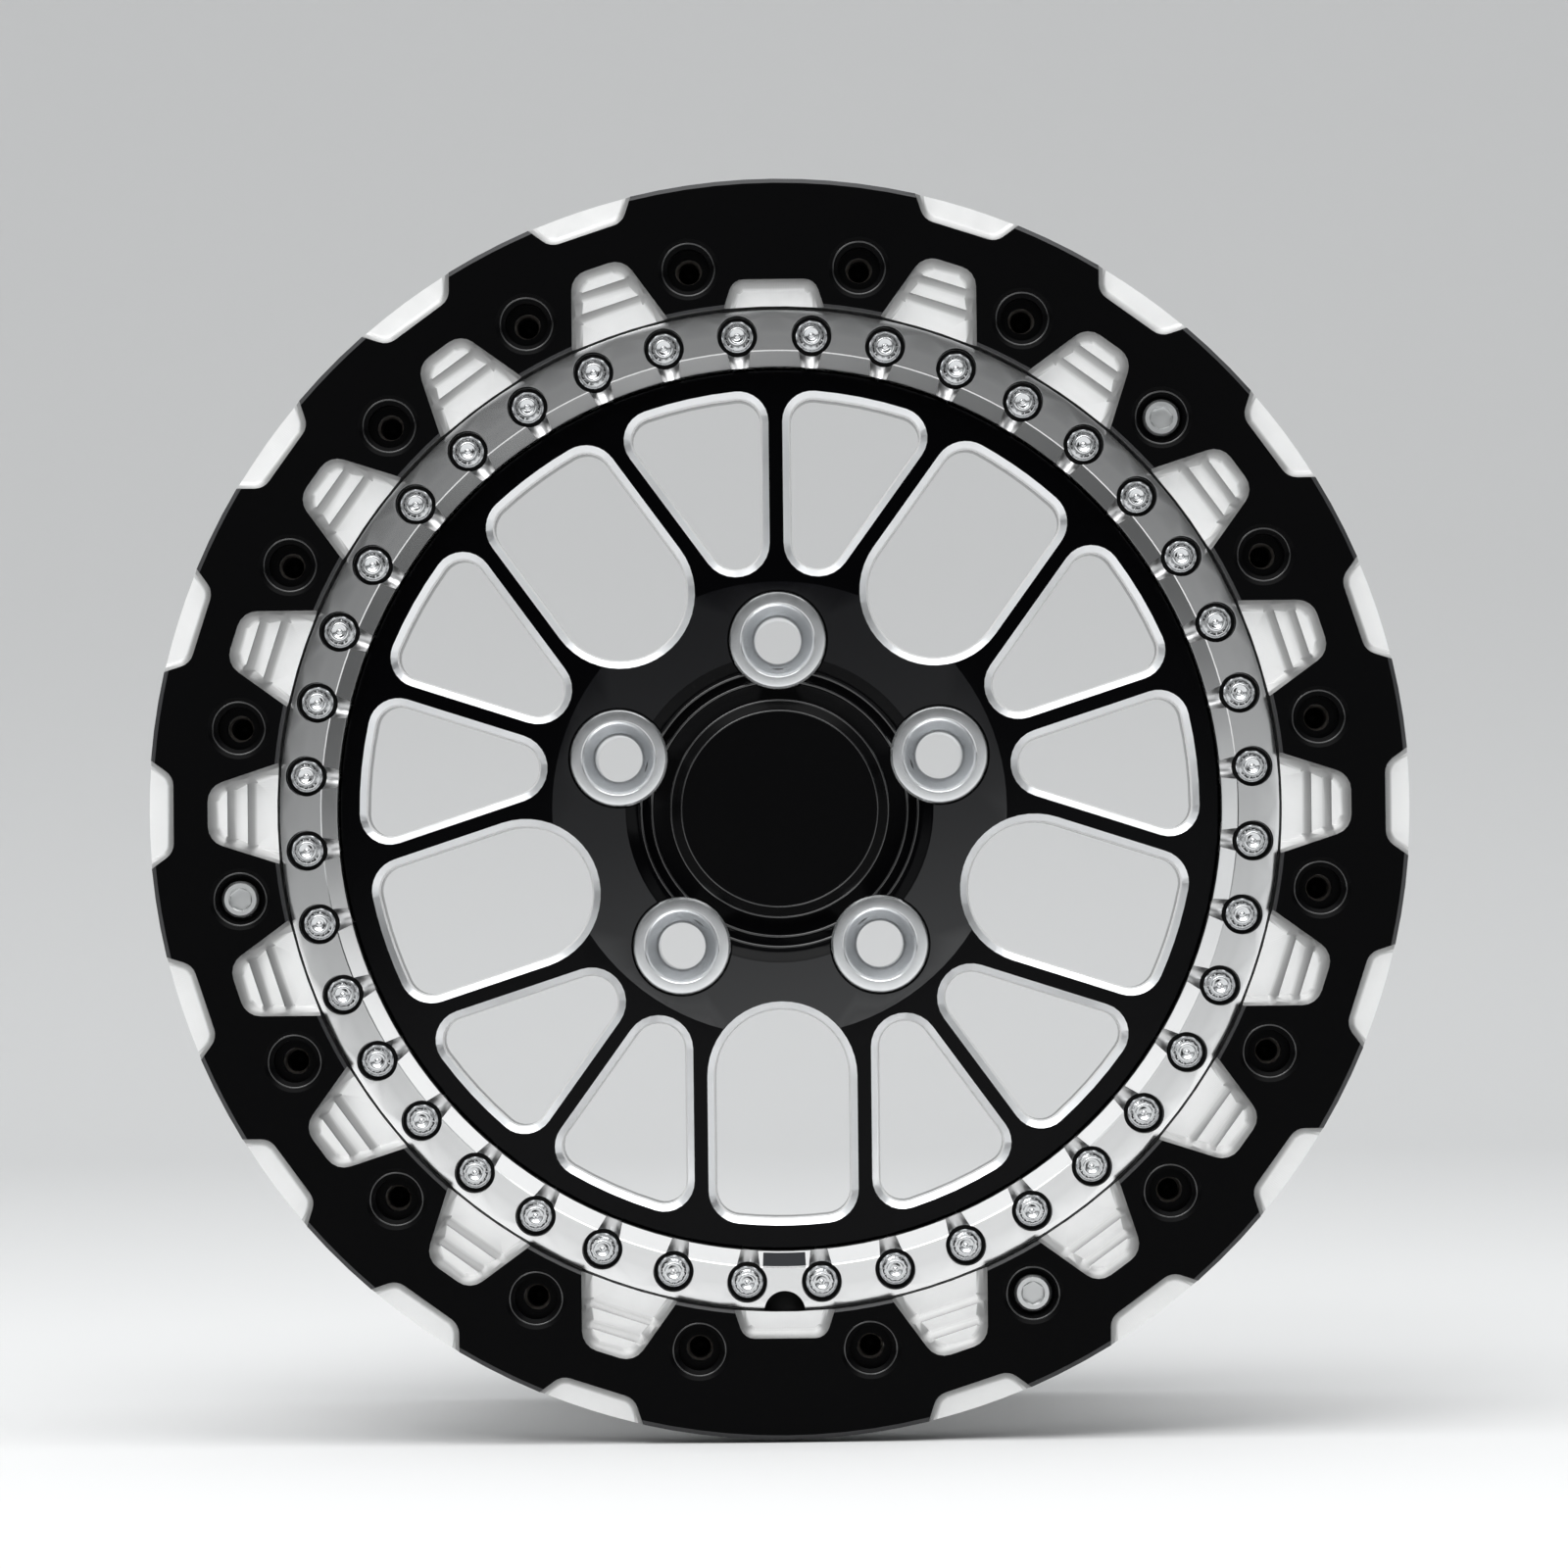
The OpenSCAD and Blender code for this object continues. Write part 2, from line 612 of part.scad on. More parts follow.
// Steel seat for a lug nut
module lug_insert() {
  head_r = insert_d / 2;
  top = insert_seat + insert_head_t;
  cone_r = insert_cone_d / 2;
  hole_r = lug_hole_d / 2;
  cone_h = (cone_r - hole_r) / tan(30);
  shank_r = insert_shank_d / 2 - slip;
  rotate_extrude() polygon([
    [hole_r, 0.5], [shank_r - 0.6, 0.5], [shank_r, 1.1], [shank_r, insert_seat],
    [head_r, insert_seat], [head_r, top - 0.9], [head_r - 0.7, top - 0.1],
    [head_r - 1.6, top], [cone_r + 0.5, top], [cone_r, top - 0.4], [hole_r, top - 0.4 - cone_h]
  ]);
}

module placed_lug_insert(number) {
  color(zinc) at_hour((number - 1) * large_pitch) translate([0, lug_r]) lug_insert();
}

// Push-in cap and its O-ring
plug_r = cap_bore_d / 2 - 0.3;
plug_end = recess_floor - plug_len;
groove_z = recess_floor - 8;
ring_section_r = 1.3;

module centre_cap() {
  r = cap_d / 2;
  top = recess_floor + cap_h;
  color(black) rotate_extrude() difference() {
    polygon([
      [0, top - 5], [plug_r - 4, top - 5], [plug_r - 4, plug_end], [plug_r - 0.6, plug_end],
      [plug_r, plug_end + 0.6],
      [plug_r, recess_floor + gap / 10], [r, recess_floor + gap / 10], [r, top - 2.6],
      [r - 0.5, top - 2.2], [cap_face_d / 2 + 0.4, top - 0.4], [cap_face_d / 2, top], [0, top]
    ]);
    translate([plug_r - 2.4, groove_z - 1.5]) square([4, 3]);
  }
}

module cap_o_ring() {
  color(rubber) rotate_extrude() translate([cap_bore_d / 2 - ring_section_r - slip, groove_z])
    circle(r = ring_section_r - slip, $fn = 32);
}

turned() beadlock_ring();
turned() fitted_ring_bolt(1);  // ring_bolt_1
turned() fitted_ring_bolt(2);  // ring_bolt_2
turned() fitted_ring_bolt(3);  // ring_bolt_3
turned() thread_inserts();
turned() outer_rim();
turned() inner_rim();
turned() rim_seal();
turned() wheel_centre();
turned() perimeter_bolts();
turned() perimeter_washers();
turned() perimeter_nuts();
turned() placed_lug_insert(1);  // lug_insert_1
turned() placed_lug_insert(2);  // lug_insert_2
turned() placed_lug_insert(3);  // lug_insert_3
turned() placed_lug_insert(4);  // lug_insert_4
turned() placed_lug_insert(5);  // lug_insert_5
turned() centre_cap();
turned() cap_o_ring();
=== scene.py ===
"""Looks for the beadlock wheel: finishes, machining marks, a pale studio and the camera."""

import json
import math

import bmesh
import bpy
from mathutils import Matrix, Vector


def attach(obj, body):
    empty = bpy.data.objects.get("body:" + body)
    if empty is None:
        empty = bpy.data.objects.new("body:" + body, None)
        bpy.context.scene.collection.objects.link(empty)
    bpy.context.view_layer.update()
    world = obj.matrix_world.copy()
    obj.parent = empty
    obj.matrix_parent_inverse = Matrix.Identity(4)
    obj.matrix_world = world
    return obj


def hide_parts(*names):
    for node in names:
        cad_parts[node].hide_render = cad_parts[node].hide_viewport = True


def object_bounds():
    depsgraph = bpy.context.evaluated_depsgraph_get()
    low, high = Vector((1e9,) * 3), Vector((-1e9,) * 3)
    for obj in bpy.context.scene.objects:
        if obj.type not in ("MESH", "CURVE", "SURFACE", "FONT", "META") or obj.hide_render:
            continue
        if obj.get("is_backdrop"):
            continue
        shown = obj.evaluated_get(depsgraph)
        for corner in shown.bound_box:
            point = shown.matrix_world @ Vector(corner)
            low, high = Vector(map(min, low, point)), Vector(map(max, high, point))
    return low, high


# Camera: the photo's width and focal length in pixels, and where the axle falls in the photo
PHOTO_PX = 1600
FOCAL_PX = 6930
CAMERA_AT = (0.0096, -2.34, -0.033)
AIM_AT = (0, -0.045, 0)
AIM_AT_PX = (796.4, 824.8)
ROLL = 0.62
SENSOR_MM = 36

# Heights of the wheel's front faces, in metres along -Y
RING_FACE = 0.053
RIM_FACE = 0.044
HUB_FACE = 0.04

# Circles of fasteners: degrees from one to the next, degrees of the first and radius in metres
RING_HOLES = (18, 9, 0.18425)
RIM_BOLTS = (9, 4.5, 0.1605)

# The band inside the bolt heads: its inner and outer radius, its width and its rise
BAND_IN_R = 0.15
BAND_OUT_R = 0.1549
BAND_W = 0.0049
BAND_RISE = 0.00085

WHEEL_R = 0.2125

# Metres between two rings of a wave texture whose scale is 1
WAVE_PERIOD = 0.314


# Materials


def principled(name, colour, metallic, roughness, specular=0.5):
    mat = bpy.data.materials.new(name)
    mat.use_nodes = True
    shader = mat.node_tree.nodes["Principled BSDF"]
    shader.inputs["Specular IOR Level"].default_value = specular
    shader.inputs["Base Color"].default_value = (*colour, 1)
    shader.inputs["Metallic"].default_value = metallic
    shader.inputs["Roughness"].default_value = roughness
    return mat


def add_bump(mat, height, distance):
    """Feeds a height output into the shader's normal."""
    nodes, links = mat.node_tree.nodes, mat.node_tree.links
    bump = nodes.new("ShaderNodeBump")
    bump.inputs["Strength"].default_value = 1.0
    bump.inputs["Distance"].default_value = distance
    links.new(height, bump.inputs["Height"])
    links.new(bump.outputs["Normal"], nodes["Principled BSDF"].inputs["Normal"])


def object_coords(mat):
    return mat.node_tree.nodes.new("ShaderNodeTexCoord").outputs["Object"]


def turned_metal(name, colour, roughness, spacing=0.004, depth=0.0000012):
    """Metal with fine rings left by a lathe, which spread its highlights towards the axle."""
    mat = principled(name, colour, 1.0, roughness)
    nodes, links = mat.node_tree.nodes, mat.node_tree.links
    shader = nodes["Principled BSDF"]
    shader.inputs["Anisotropic"].default_value = 0.6
    shader.inputs["Anisotropic Rotation"].default_value = 0.25
    tangent = nodes.new("ShaderNodeTangent")
    tangent.direction_type = "RADIAL"
    tangent.axis = "Y"
    links.new(tangent.outputs["Tangent"], shader.inputs["Tangent"])
    wave = nodes.new("ShaderNodeTexWave")
    wave.wave_type = "RINGS"
    wave.rings_direction = "Y"
    wave.inputs["Scale"].default_value = WAVE_PERIOD / spacing
    wave.inputs["Distortion"].default_value = 0.3
    wave.inputs["Detail"].default_value = 0
    links.new(object_coords(mat), wave.inputs["Vector"])
    add_bump(mat, wave.outputs["Fac"], depth)
    return mat


def add_noise(mat, scale, detail):
    nodes, links = mat.node_tree.nodes, mat.node_tree.links
    noise = nodes.new("ShaderNodeTexNoise")
    noise.inputs["Scale"].default_value = scale
    noise.inputs["Detail"].default_value = detail
    links.new(object_coords(mat), noise.inputs["Vector"])
    return noise.outputs["Fac"]


def fine_grain(mat, scale, height):
    """A close grain in the surface, such as blasting, plating or a fine cutter leaves."""
    add_bump(mat, add_noise(mat, scale, 3), height)


def uneven_sheen(mat, low, high, scale):
    """Lets the roughness wander a little, as handled and coated surfaces do."""
    nodes, links = mat.node_tree.nodes, mat.node_tree.links
    spread = nodes.new("ShaderNodeMapRange")
    spread.inputs["To Min"].default_value = low
    spread.inputs["To Max"].default_value = high
    links.new(add_noise(mat, scale, 4), spread.inputs["Value"])
    links.new(spread.outputs["Result"], nodes["Principled BSDF"].inputs["Roughness"])
    return mat


def milled_metal(name, colour, roughness, lines_a_turn=2000):
    """Metal with the fine lines, all pointing at the axle, that a milling cutter leaves."""
    mat = principled(name, colour, 0.85, roughness)
    nodes, links = mat.node_tree.nodes, mat.node_tree.links
    upright = nodes.new("ShaderNodeMapping")
    upright.inputs["Rotation"].default_value = (math.pi / 2, 0, 0)
    turn = nodes.new("ShaderNodeTexGradient")
    turn.gradient_type = "RADIAL"
    times = nodes.new("ShaderNodeMath")
    times.operation = "MULTIPLY"
    times.inputs[1].default_value = lines_a_turn * 2 * math.pi
    sine = nodes.new("ShaderNodeMath")
    sine.operation = "SINE"
    links.new(object_coords(mat), upright.inputs["Vector"])
    links.new(upright.outputs["Vector"], turn.inputs["Vector"])
    links.new(turn.outputs["Fac"], times.inputs[0])
    links.new(times.outputs["Value"], sine.inputs[0])
    add_bump(mat, sine.outputs["Value"], 0.000008)
    return uneven_sheen(mat, roughness - 0.05, roughness + 0.05, 160)


def fill_ramp(ramp, colours):
    """Gives a colour ramp one stop for each (place, colour) pair."""
    while len(ramp.color_ramp.elements) < len(colours):
        ramp.color_ramp.elements.new(0.5)
    for element, (place, colour) in zip(ramp.color_ramp.elements, colours):
        element.position = place
        element.color = colour


def painted_shade_on_slopes(mat, levels):
    """Paints shade into a finish's colour, darker the less squarely the surface faces the front,
    given (facing, level) pairs.
    """
    nodes, links = mat.node_tree.nodes, mat.node_tree.links
    shape = nodes.new("ShaderNodeNewGeometry")
    facing = nodes.new("ShaderNodeVectorMath")
    facing.operation = "DOT_PRODUCT"
    facing.inputs[1].default_value = (0, -1, 0)
    ramp = nodes.new("ShaderNodeValToRGB")
    fill_ramp(ramp, [(at, (level, level, level * 0.995, 1)) for at, level in levels])
    links.new(shape.outputs["Normal"], facing.inputs[0])
    links.new(facing.outputs["Value"], ramp.inputs["Fac"])
    links.new(ramp.outputs["Color"], nodes["Principled BSDF"].inputs["Base Color"])
    return mat


def coated(name, colour, roughness, specular, grain):
    mat = principled(name, colour, 0.0, roughness, specular)
    fine_grain(mat, 1400, grain)
    return uneven_sheen(mat, roughness - 0.03, roughness + 0.03, 30)


def plated(name, colour, roughness, metallic=1.0):
    mat = principled(name, colour, metallic, roughness)
    fine_grain(mat, 1100, 0.000003)
    return uneven_sheen(mat, roughness - 0.04, roughness + 0.05, 220)


MATERIALS = {
    "anodised_black": coated("anodised black", (0.0012, 0.0012, 0.0014), 0.34, 0.05, 0.000004),
    "steel": plated("turned steel", (0.68, 0.69, 0.69), 0.3),
    "machined_silver": turned_metal("machined silver", (0.84, 0.84, 0.84), 0.17),
    "rubber_black": coated("rubber", (0.02, 0.02, 0.02), 0.7, 0.4, 0.00001),
    "gloss_black": coated("gloss black", (0.001, 0.001, 0.0013), 0.1, 0.08, 0.0000002),
    "zinc": plated("zinc plate", (0.76, 0.77, 0.78), 0.22),
    "black_washer": coated("black washer", (0.003, 0.003, 0.003), 0.4, 0.15, 0.000004),
    "cap_black": coated("cap black", (0.0012, 0.0012, 0.0014), 0.26, 0.06, 0.000002),
}
PAD_BLACK = coated("polished black", (0.001, 0.001, 0.0018), 0.06, 0.9, 0.0000002)
ROUND_BLACK = coated("polished black edge", (0.003, 0.003, 0.0034), 0.16, 1.0, 0.0000002)
# Milled pockets: painted shade, the colour going grey on the fillets and walls as they turn away from
# the front
POCKET = painted_shade_on_slopes(
    milled_metal("milled pocket, painted shade", (0.9, 0.9, 0.9), 0.46),
    ((0.0, 0.3), (0.5, 0.33), (0.84, 0.37), (0.93, 0.44), (0.975, 0.7), (0.998, 0.98)),
)
CUT_SLOPE = plated("window bevel", (0.86, 0.87, 0.88), 0.3)
# Steep inner edge of the window bevels: the same bare metal made whiter and mostly diffuse, a painted
# highlight
STEEP_BEVEL_PAINTED_HIGHLIGHT = plated("window edge, painted highlight", (0.94, 0.94, 0.94), 0.5, 0.25)
RELIEF = plated("relief", (0.66, 0.66, 0.66), 0.34)
BRIGHT = plated("bright bolt", (0.7, 0.71, 0.72), 0.2)
# Bolt flanges: the head's plating a shade darker, painted shade where they sit deep in the
# counterbores
FLANGE = plated("bolt flange", (0.62, 0.63, 0.64), 0.26)
# Ring chamfers: black anodising made lighter and more reflective, a painted sheen
CHAMFER_PAINTED_SHEEN = coated("ring chamfer, painted sheen", (0.02, 0.02, 0.022), 0.4, 0.5, 0.000004)
# Thread inserts: steel darkened, painted shade deep in the ring's holes
STEEL_PAINTED_SHADE = plated("insert steel, painted shade", (0.36, 0.34, 0.32), 0.3)
# Near black: painted shade in the rim's counterbores, deep bores and valve recess
BORE_PAINTED_SHADE = coated("bore, painted shade", (0.002, 0.002, 0.002), 0.4, 0.1, 0.000004)


# Meshes


def link_new(name, data):
    obj = bpy.data.objects.new(name, data)
    bpy.context.scene.collection.objects.link(obj)
    return obj


def shade(mesh, choose, degrees, soft_degrees):
    """Picks each face's finish and rounds the shading across edges that are shallow enough.

    choose() gets a face's radius from the axle, its depth along -Y, its centre and its normal.
    Edges between two faces that aren't of the first finish may turn further and stay smooth.
    """
    bm = bmesh.new()
    bm.from_mesh(mesh)
    bmesh.ops.remove_doubles(bm, verts=bm.verts, dist=0.000002)
    bm.normal_update()
    for face in bm.faces:
        face.smooth = True
        c, n = face.calc_center_median(), face.normal
        face.material_index = choose(math.hypot(c.x, c.z), -c.y, c, n) if choose else 0
    for edge in bm.edges:
        soft = all(face.material_index > 0 for face in edge.link_faces)
        limit = math.radians(soft_degrees if soft else degrees)
        edge.smooth = len(edge.link_faces) == 2 and edge.calc_face_angle(math.pi) < limit
    bm.to_mesh(mesh)
    bm.free()


def stand_in(node, materials, choose=None, degrees=32, soft_degrees=62, move=None):
    """Copies a node's mesh, with room for several finishes, to be shown in its place.

    move() may shift a vertex a little, for a form too fine for the solids.
    """
    mesh = frame["nodes"][node].data.copy()
    obj = link_new("look_" + node, mesh)
    normals = mesh.attributes.get("custom_normal")
    if normals is not None:
        mesh.attributes.remove(normals)
    mesh.materials.clear()
    for mat in materials:
        mesh.materials.append(mat)
    if move:
        for vertex in mesh.vertices:
            move(vertex.co)
    shade(mesh, choose, degrees, soft_degrees)
    if choose:
        flat = obj.modifiers.new("flat faces stay flat", "WEIGHTED_NORMAL")
        flat.keep_sharp = True
        flat.weight = 100
    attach(obj, "root")
    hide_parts(node)


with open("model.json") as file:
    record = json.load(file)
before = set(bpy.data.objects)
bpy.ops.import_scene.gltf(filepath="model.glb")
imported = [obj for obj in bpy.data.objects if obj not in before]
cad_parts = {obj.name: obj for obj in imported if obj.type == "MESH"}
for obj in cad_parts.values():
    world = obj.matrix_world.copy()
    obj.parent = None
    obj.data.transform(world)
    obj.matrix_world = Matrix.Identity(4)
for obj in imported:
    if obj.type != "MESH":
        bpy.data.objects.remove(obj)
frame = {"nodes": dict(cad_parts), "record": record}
lo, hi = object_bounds()
SLOTS = {s["node"]: s["material_slot"] for s in frame["record"]["subparts"]}


def hour_angle(c):
    """Degrees round the axle from twelve o'clock, seen from the front."""
    return math.degrees(math.atan2(c.x, c.z)) % 360


def beside(c, pitch, first, radius):
    """Distance from the nearest of the places on a circle that lie pitch degrees apart."""
    off = (hour_angle(c) - first + pitch / 2) % pitch - pitch / 2
    r = math.hypot(c.x, c.z)
    along = radius * math.cos(math.radians(off))
    return math.hypot(r - along, radius * math.sin(math.radians(off)))


# Clamp ring: black outside, bare metal where the pockets and notches are milled, with painted shade
# on the pockets' slopes and a painted sheen on the black chamfers

DISH_R = 0.0106
SEAT_DEPTH = 0.0091
RING_OUT_R = 0.2124
RING_IN_R = 0.1701
OUTER_BREAK_R = 0.2108
INNER_BREAK_R = 0.1709
BREAK_DEPTH = 0.0016
POCKET_OUT_R = 0.1945
NOTCH_IN_R = 0.2035


def ring_finish(r, depth, c, n):
    outward = (c.x * n.x + c.z * n.z) / r
    facing = -n.y
    if beside(c, *RING_HOLES) < DISH_R:
        return 0
    if depth > RING_FACE - 0.00005 and facing > 0.99:
        return 0
    if depth < RING_FACE - SEAT_DEPTH:
        return 0
    if r > RING_OUT_R or facing < 0.05 and outward < -0.95 and r < RING_IN_R:
        return 0
    # The chamfers near the face get the painted sheen
    if facing > 0.5 and abs(outward) > 0.5 and (r > OUTER_BREAK_R or r < INNER_BREAK_R):
        return 2 if depth > RING_FACE - BREAK_DEPTH else 1
    return 1 if r < POCKET_OUT_R or r > NOTCH_IN_R else 0


stand_in("beadlock_ring", [MATERIALS["anodised_black"], POCKET, CHAMFER_PAINTED_SHEEN], ring_finish, 24)


# Wheel centre: gloss black with bare bevels round the windows; their steep inner edges are whiter, a
# painted highlight

WINDOWS_IN_R = 0.064
WINDOWS_OUT_R = 0.1445
WINDOWS_DEPTH = 0.018
PAD_IN_R = 0.052


def centre_finish(r, depth, c, n):
    facing = -n.y
    windows = WINDOWS_IN_R < r < WINDOWS_OUT_R and depth > WINDOWS_DEPTH
    if windows and 0.5 < facing < 0.93:
        return 1
    # The steep inner edge gets the painted highlight
    if windows and 0.2 < facing < 0.5:
        return 2
    return 3 if r > PAD_IN_R and depth > HUB_FACE - 0.0001 and facing > 0.9998 else 0


centre_finishes = [MATERIALS["gloss_black"], CUT_SLOPE, STEEP_BEVEL_PAINTED_HIGHLIGHT, PAD_BLACK]
stand_in("wheel_centre", centre_finishes, centre_finish, 24, 24)


# Outer rim: turned all over, with milled reliefs inside the bolt heads and painted shade, near black,
# on the counterbore walls, the bores under the ring's holes and the valve recess

VALVE_IN_R = 0.155
VALVE_OUT_R = 0.172
INSERT_BORE_R = 0.0062
FLANGE_OUT_R = 0.1681
BOLT_BORES_DEPTH = 0.0365
BOLT_BORE_R = 0.0069
RELIEF_OUT_R = 0.1545
RELIEF_HALF_W = 0.0039


def rim_finish(r, depth, c, n):
    valve = abs(hour_angle(c) - 180) < 3 and VALVE_IN_R < r < VALVE_OUT_R
    if valve and depth < RIM_FACE - 0.0004 and (n.z > 0.05 or abs(n.y) < 0.5):
        return 1
    if beside(c, *RING_HOLES) < INSERT_BORE_R:
        return 1
    if depth < BOLT_BORES_DEPTH or r > FLANGE_OUT_R:
        return 0
    if beside(c, *RIM_BOLTS) < BOLT_BORE_R and abs(n.y) < 0.3:
        return 1
    pitch, first, _ = RIM_BOLTS
    aside = abs((hour_angle(c) % pitch - first) * math.radians(1) * r)
    if r < RELIEF_OUT_R and aside < RELIEF_HALF_W and depth < RIM_FACE - 0.0009 and n.y < 0.2:
        return 2
    return 0


def band_rise(r):
    return BAND_RISE * min(1, (BAND_OUT_R - r) / BAND_W)


def raise_band(c):
    """Lets the band inside the bolt heads rise a little towards the axle, as it does in the photo."""
    r = math.hypot(c.x, c.z)
    if r < BAND_OUT_R and -c.y > RIM_FACE - 0.004:
        c.y -= band_rise(r)
        if r < BAND_IN_R - 0.0002 and -c.y > RIM_FACE - 0.0006:
            c.y -= 0.0004


rim_finishes = [MATERIALS["machined_silver"], BORE_PAINTED_SHADE, RELIEF]
stand_in("outer_rim", rim_finishes, rim_finish, move=raise_band)


# Bolts round the centre: bright heads over duller flanges, whose colour is a shade darker, painted
# shade where they sit deep


def bolt_finish(r, depth, c, n):
    return 1 if depth < RIM_FACE - 0.003 else 0


def flatten_flange(c):
    """Leaves the bolts' flanges a slope of only some nine degrees, so that they catch the light."""
    if beside(c, *RIM_BOLTS) > 0.005 and RIM_FACE - 0.0053 < -c.y < RIM_FACE - 0.0045:
        c.y = -(RIM_FACE - 0.00425)


stand_in("perimeter_bolts", [BRIGHT, FLANGE], bolt_finish, move=flatten_flange)


# The other nodes: one finish each

# The inserts' steel is darkened: painted shade deep in the ring's holes
stand_in("thread_inserts", [STEEL_PAINTED_SHADE])
DONE = ("beadlock_ring", "wheel_centre", "outer_rim", "perimeter_bolts", "thread_inserts")
for node in frame["nodes"]:
    if node not in DONE:
        stand_in(node, [MATERIALS[SLOTS[node]]])


# Small details too fine for the solids: bolt head crowns, polished edge rounds, valve recess, and a
# painted reflection on the band beside it


def turned_copies(name, profile, places, mat, steps=48):
    """Turns a profile of radius and depth into a shell, once at each place (x, z)."""
    verts, faces = [], []
    for x, z in places:
        first = len(verts)
        for r, depth in profile:
            for k in range(steps):
                a = 2 * math.pi * k / steps
                verts.append((x + r * math.cos(a), -depth, z + r * math.sin(a)))
        for i in range(len(profile) - 1):
            for k in range(steps):
                m = (k + 1) % steps
                at = first + i * steps
                faces.append((at + k, at + steps + k, at + steps + m, at + m))
    mesh = bpy.data.meshes.new(name)
    mesh.from_pydata(verts, [], faces)
    mesh.materials.append(mat)
    bm = bmesh.new()
    bm.from_mesh(mesh)
    bmesh.ops.remove_doubles(bm, verts=bm.verts, dist=0.000001)
    bmesh.ops.recalc_face_normals(bm, faces=bm.faces)
    for face in bm.faces:
        face.smooth = True
    bm.to_mesh(mesh)
    bm.free()
    obj = link_new(name, mesh)
    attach(obj, "root")


def circle(pitch, first, radius):
    turns = [math.radians(first + pitch * k) for k in range(round(360 / pitch))]
    return [(radius * math.sin(a), radius * math.cos(a)) for a in turns]


def bead(radius, depth, thick):
    """Section of a thin round line."""
    turns = [math.radians(45 * k) for k in range(9)]
    return [(radius + thick * math.cos(a), depth + thick * math.sin(a)) for a in turns]


def valve_flat_painted_reflection():
    """A dark polished flat cut across the band at six o'clock, beside the valve's recess; its
    darkness is a painted reflection.
    """
    rows, columns = 4, 16
    in_r, length, degrees = 0.1501, 0.0046, 5.4
    bm = bmesh.new()
    grid = []
    for i in range(rows + 1):
        r = in_r + length * i / rows
        rise = band_rise(r) - 0.0009 + 0.0004 * (r - BAND_IN_R) / BAND_W
        for k in range(columns + 1):
            a = math.radians(180 - degrees / 2 + degrees * k / columns)
            at = (r * math.sin(a), -(RIM_FACE + rise + 0.00004), r * math.cos(a))
            grid.append(bm.verts.new(at))
    row = columns + 1
    for i in range(rows):
        for k in range(columns):
            at = i * row + k
            bm.faces.new([grid[at], grid[at + 1], grid[at + row + 1], grid[at + row]])
    bmesh.ops.recalc_face_normals(bm, faces=bm.faces)
    mesh = bpy.data.meshes.new("valve_flat_painted_reflection")
    bm.to_mesh(mesh)
    bm.free()
    mesh.materials.append(plated("dark flat, painted reflection", (0.05, 0.052, 0.056), 0.3))
    obj = link_new("valve_flat_painted_reflection", mesh)
    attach(obj, "root")


# Section of a bolt head's crown: radius, and height above the rim's face, in millimetres
CROWN_MM = (
    (0, -0.22),
    (0.3, -0.28),
    (0.6, -0.62),
    (0.95, -0.74),
    (1.35, -0.62),
    (1.8, -0.3),
    (2.15, 0.0),
    (2.5, 0.14),
    (2.9, 0.1),
    (3.2, -0.1),
    (3.36, -0.4),
)
VALVE_AT = (0, -0.1699)
PLUG_TOP = RIM_FACE - 0.0072

# A painted reflection on the band at six o'clock
valve_flat_painted_reflection()
plug = [(0, PLUG_TOP), (0.00685, PLUG_TOP), (0.00688, RIM_FACE - 0.0076)]
turned_copies("valve_recess_plug", plug, [VALVE_AT], MATERIALS["rubber_black"])
crown = [(r / 1000, RIM_FACE + rise / 1000) for r, rise in CROWN_MM]
turned_copies("bolt_crowns", crown, circle(*RIM_BOLTS), BRIGHT)
edge = bead(0.0089, RING_FACE - 0.0013, 0.0004)
turned_copies("counterbore_edges", edge, circle(*RING_HOLES), ROUND_BLACK)
for name, radius, depth, thick, slot in (
    ("cap_face_edge", 0.0332, 0.03815, 0.00042, "cap_black"),
    ("cap_outer_edge", 0.0368, 0.03595, 0.0005, "cap_black"),
    ("recess_foot_edge", 0.0434, 0.0333, 0.0007, "gloss_black"),
    ("recess_step_edge", 0.047, 0.0359, 0.0006, "gloss_black"),
):
    turned_copies(name, bead(radius, depth, thick), [(0, 0)], ROUND_BLACK, 180)


# Studio: a pale floor and backdrop, with soft light mostly from above

FLOOR_FRONT = -4.0
FLOOR_HALF_W = 5
WALL_AT = 3.8
WALL_TOP = 4.0
SWEEP_R = 1.2
SWEEP_STEPS = 12
FLOOR_SHADE = 0.8
WALL_SHADE = 0.7
lowest = min(lo[2], -WHEEL_R)


def studio_finish():
    """A pale floor that turns a shade darker up the backdrop, so that bare metal stands out."""
    mat = principled("studio", (FLOOR_SHADE, FLOOR_SHADE, FLOOR_SHADE), 0.0, 0.9)
    nodes, links = mat.node_tree.nodes, mat.node_tree.links
    place = nodes.new("ShaderNodeNewGeometry")
    axes = nodes.new("ShaderNodeSeparateXYZ")
    shade_up = nodes.new("ShaderNodeMapRange")
    shade_up.interpolation_type = "SMOOTHSTEP"
    shade_up.inputs["From Min"].default_value = lowest + 0.01
    shade_up.inputs["From Max"].default_value = lowest + 0.5
    shade_up.inputs["To Min"].default_value = FLOOR_SHADE
    shade_up.inputs["To Max"].default_value = WALL_SHADE
    links.new(place.outputs["Position"], axes.inputs["Vector"])
    links.new(axes.outputs["Z"], shade_up.inputs["Value"])
    links.new(shade_up.outputs["Result"], nodes["Principled BSDF"].inputs["Base Color"])
    return mat


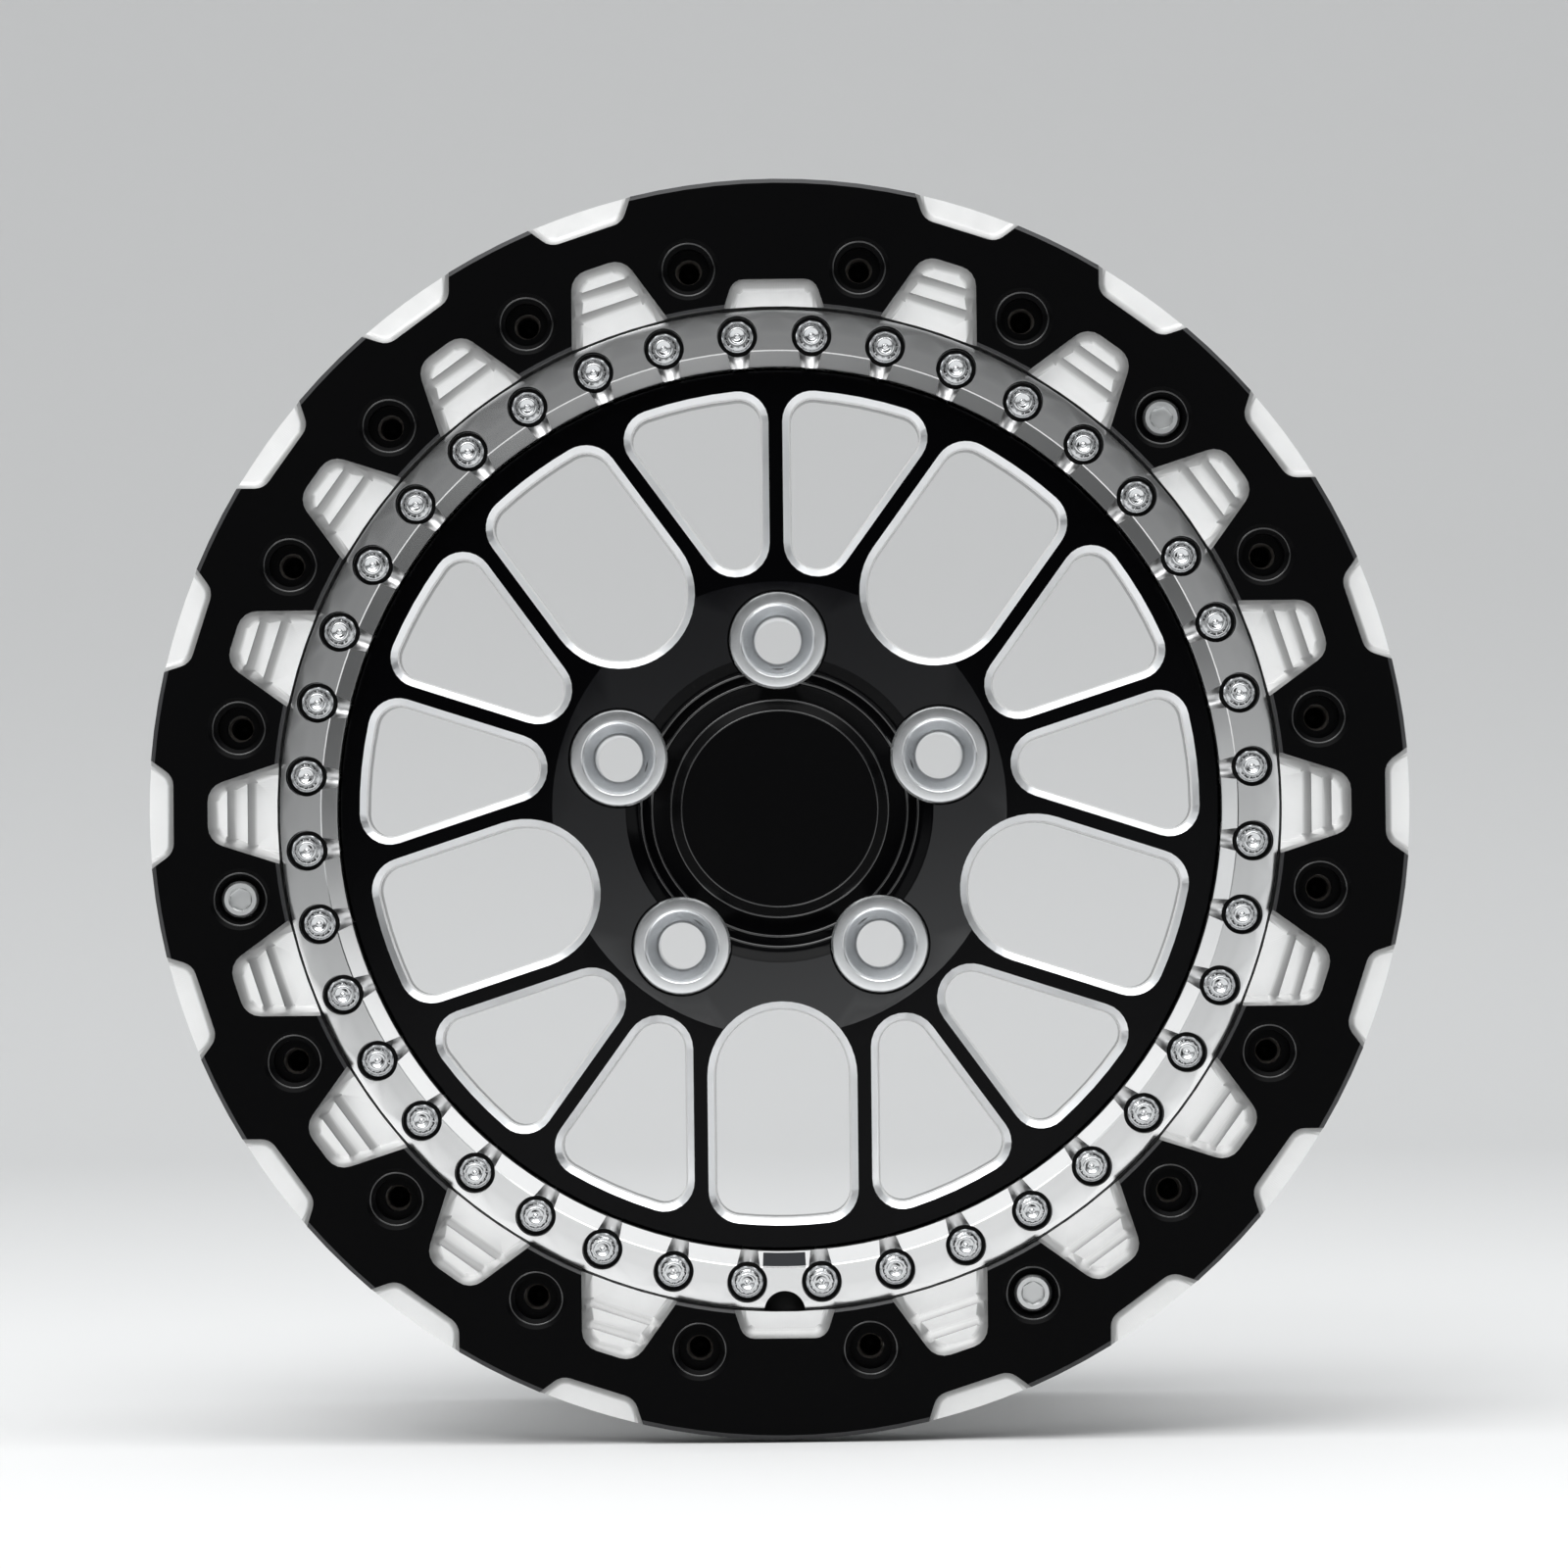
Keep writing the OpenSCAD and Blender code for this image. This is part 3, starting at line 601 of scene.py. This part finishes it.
def studio_plane():
    """A floor that sweeps up into a wall behind the wheel."""
    floor_z = lowest - 0.001
    sweep_y = WALL_AT - SWEEP_R
    curve = [(FLOOR_FRONT, floor_z), (sweep_y, floor_z)]
    for k in range(1, SWEEP_STEPS + 1):
        a = math.radians(90 * k / SWEEP_STEPS)
        curve.append((sweep_y + SWEEP_R * math.sin(a), floor_z + SWEEP_R * (1 - math.cos(a))))
    curve.append((WALL_AT, WALL_TOP))
    verts = []
    for y, z in curve:
        verts.append((-FLOOR_HALF_W, y, z))
        verts.append((FLOOR_HALF_W, y, z))
    faces = [(2 * i, 2 * i + 1, 2 * i + 3, 2 * i + 2) for i in range(len(curve) - 1)]
    mesh = bpy.data.meshes.new("studio")
    mesh.from_pydata(verts, [], faces)
    mesh.materials.append(studio_finish())
    for face in mesh.polygons:
        face.use_smooth = True
    return link_new("studio", mesh)


studio_plane()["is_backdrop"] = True


def area_light(name, at, size, power):
    """A rectangular lamp that points at the middle of the wheel's hub face."""
    light = bpy.data.lights.new(name, "AREA")
    light.shape = "RECTANGLE"
    light.size, light.size_y = size
    light.energy = power
    obj = link_new(name, light)
    obj.location = at
    obj.rotation_mode = "QUATERNION"
    obj.rotation_quaternion = (Vector((0, 0, 0)) - Vector(at)).to_track_quat("-Z", "Y")


area_light("sky", (0, -0.9, 2.2), (3.0, 2.0), 40)
area_light("front", (-0.9, -2.4, 1.9), (1.6, 0.8), 20)

# What the metal reflects: pale ground, a dark band at eye level and bright sky above it.
# The horizon leans a little to one side.
SKY = (
    (0.0, 0.4),
    (0.44, 1.0),
    (0.485, 1.0),
    (0.507, 0.33),
    (0.53, 0.12),
    (0.545, 0.06),
    (0.61, 0.1),
    (0.7, 0.7),
    (1.0, 1.1),
)
HORIZON_UP = (-0.17, 0, 0.985)


def sky_world():
    world = bpy.data.worlds.new("world")
    world.use_nodes = True
    nodes, links = world.node_tree.nodes, world.node_tree.links
    coords = nodes.new("ShaderNodeTexCoord")
    rise = nodes.new("ShaderNodeVectorMath")
    rise.operation = "DOT_PRODUCT"
    rise.inputs[1].default_value = HORIZON_UP
    height = nodes.new("ShaderNodeMapRange")
    height.inputs["From Min"].default_value = -1
    ramp = nodes.new("ShaderNodeValToRGB")
    fill_ramp(ramp, [(at, (level * 0.97, level * 0.99, level, 1)) for at, level in SKY])
    links.new(coords.outputs["Generated"], rise.inputs[0])
    links.new(rise.outputs["Value"], height.inputs["Value"])
    links.new(height.outputs["Result"], ramp.inputs["Fac"])
    links.new(ramp.outputs["Color"], nodes["Background"].inputs["Color"])
    nodes["Background"].inputs["Strength"].default_value = 0.9
    return world


bpy.context.scene.world = sky_world()


# Camera, placed so that the wheel falls where the photo has it

camera = bpy.data.cameras.new("camera")
camera.sensor_width = SENSOR_MM
camera.lens = FOCAL_PX * SENSOR_MM / PHOTO_PX
camera_obj = link_new("camera", camera)
camera_obj.location = CAMERA_AT
to_wheel = Vector(AIM_AT) - Vector(CAMERA_AT)
yaw = math.atan2(-to_wheel.x, to_wheel.y)
yaw += math.atan((AIM_AT_PX[0] - PHOTO_PX / 2) / FOCAL_PX)
pitch = math.atan2(to_wheel.z, math.hypot(to_wheel.x, to_wheel.y))
pitch += math.atan((AIM_AT_PX[1] - PHOTO_PX / 2) / FOCAL_PX)
camera_obj.rotation_mode = "XYZ"
camera_obj.rotation_euler = (math.pi / 2 + pitch, math.radians(ROLL), yaw)
bpy.context.scene.camera = camera_obj

bpy.context.scene.view_settings.view_transform = "Standard"

lo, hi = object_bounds()
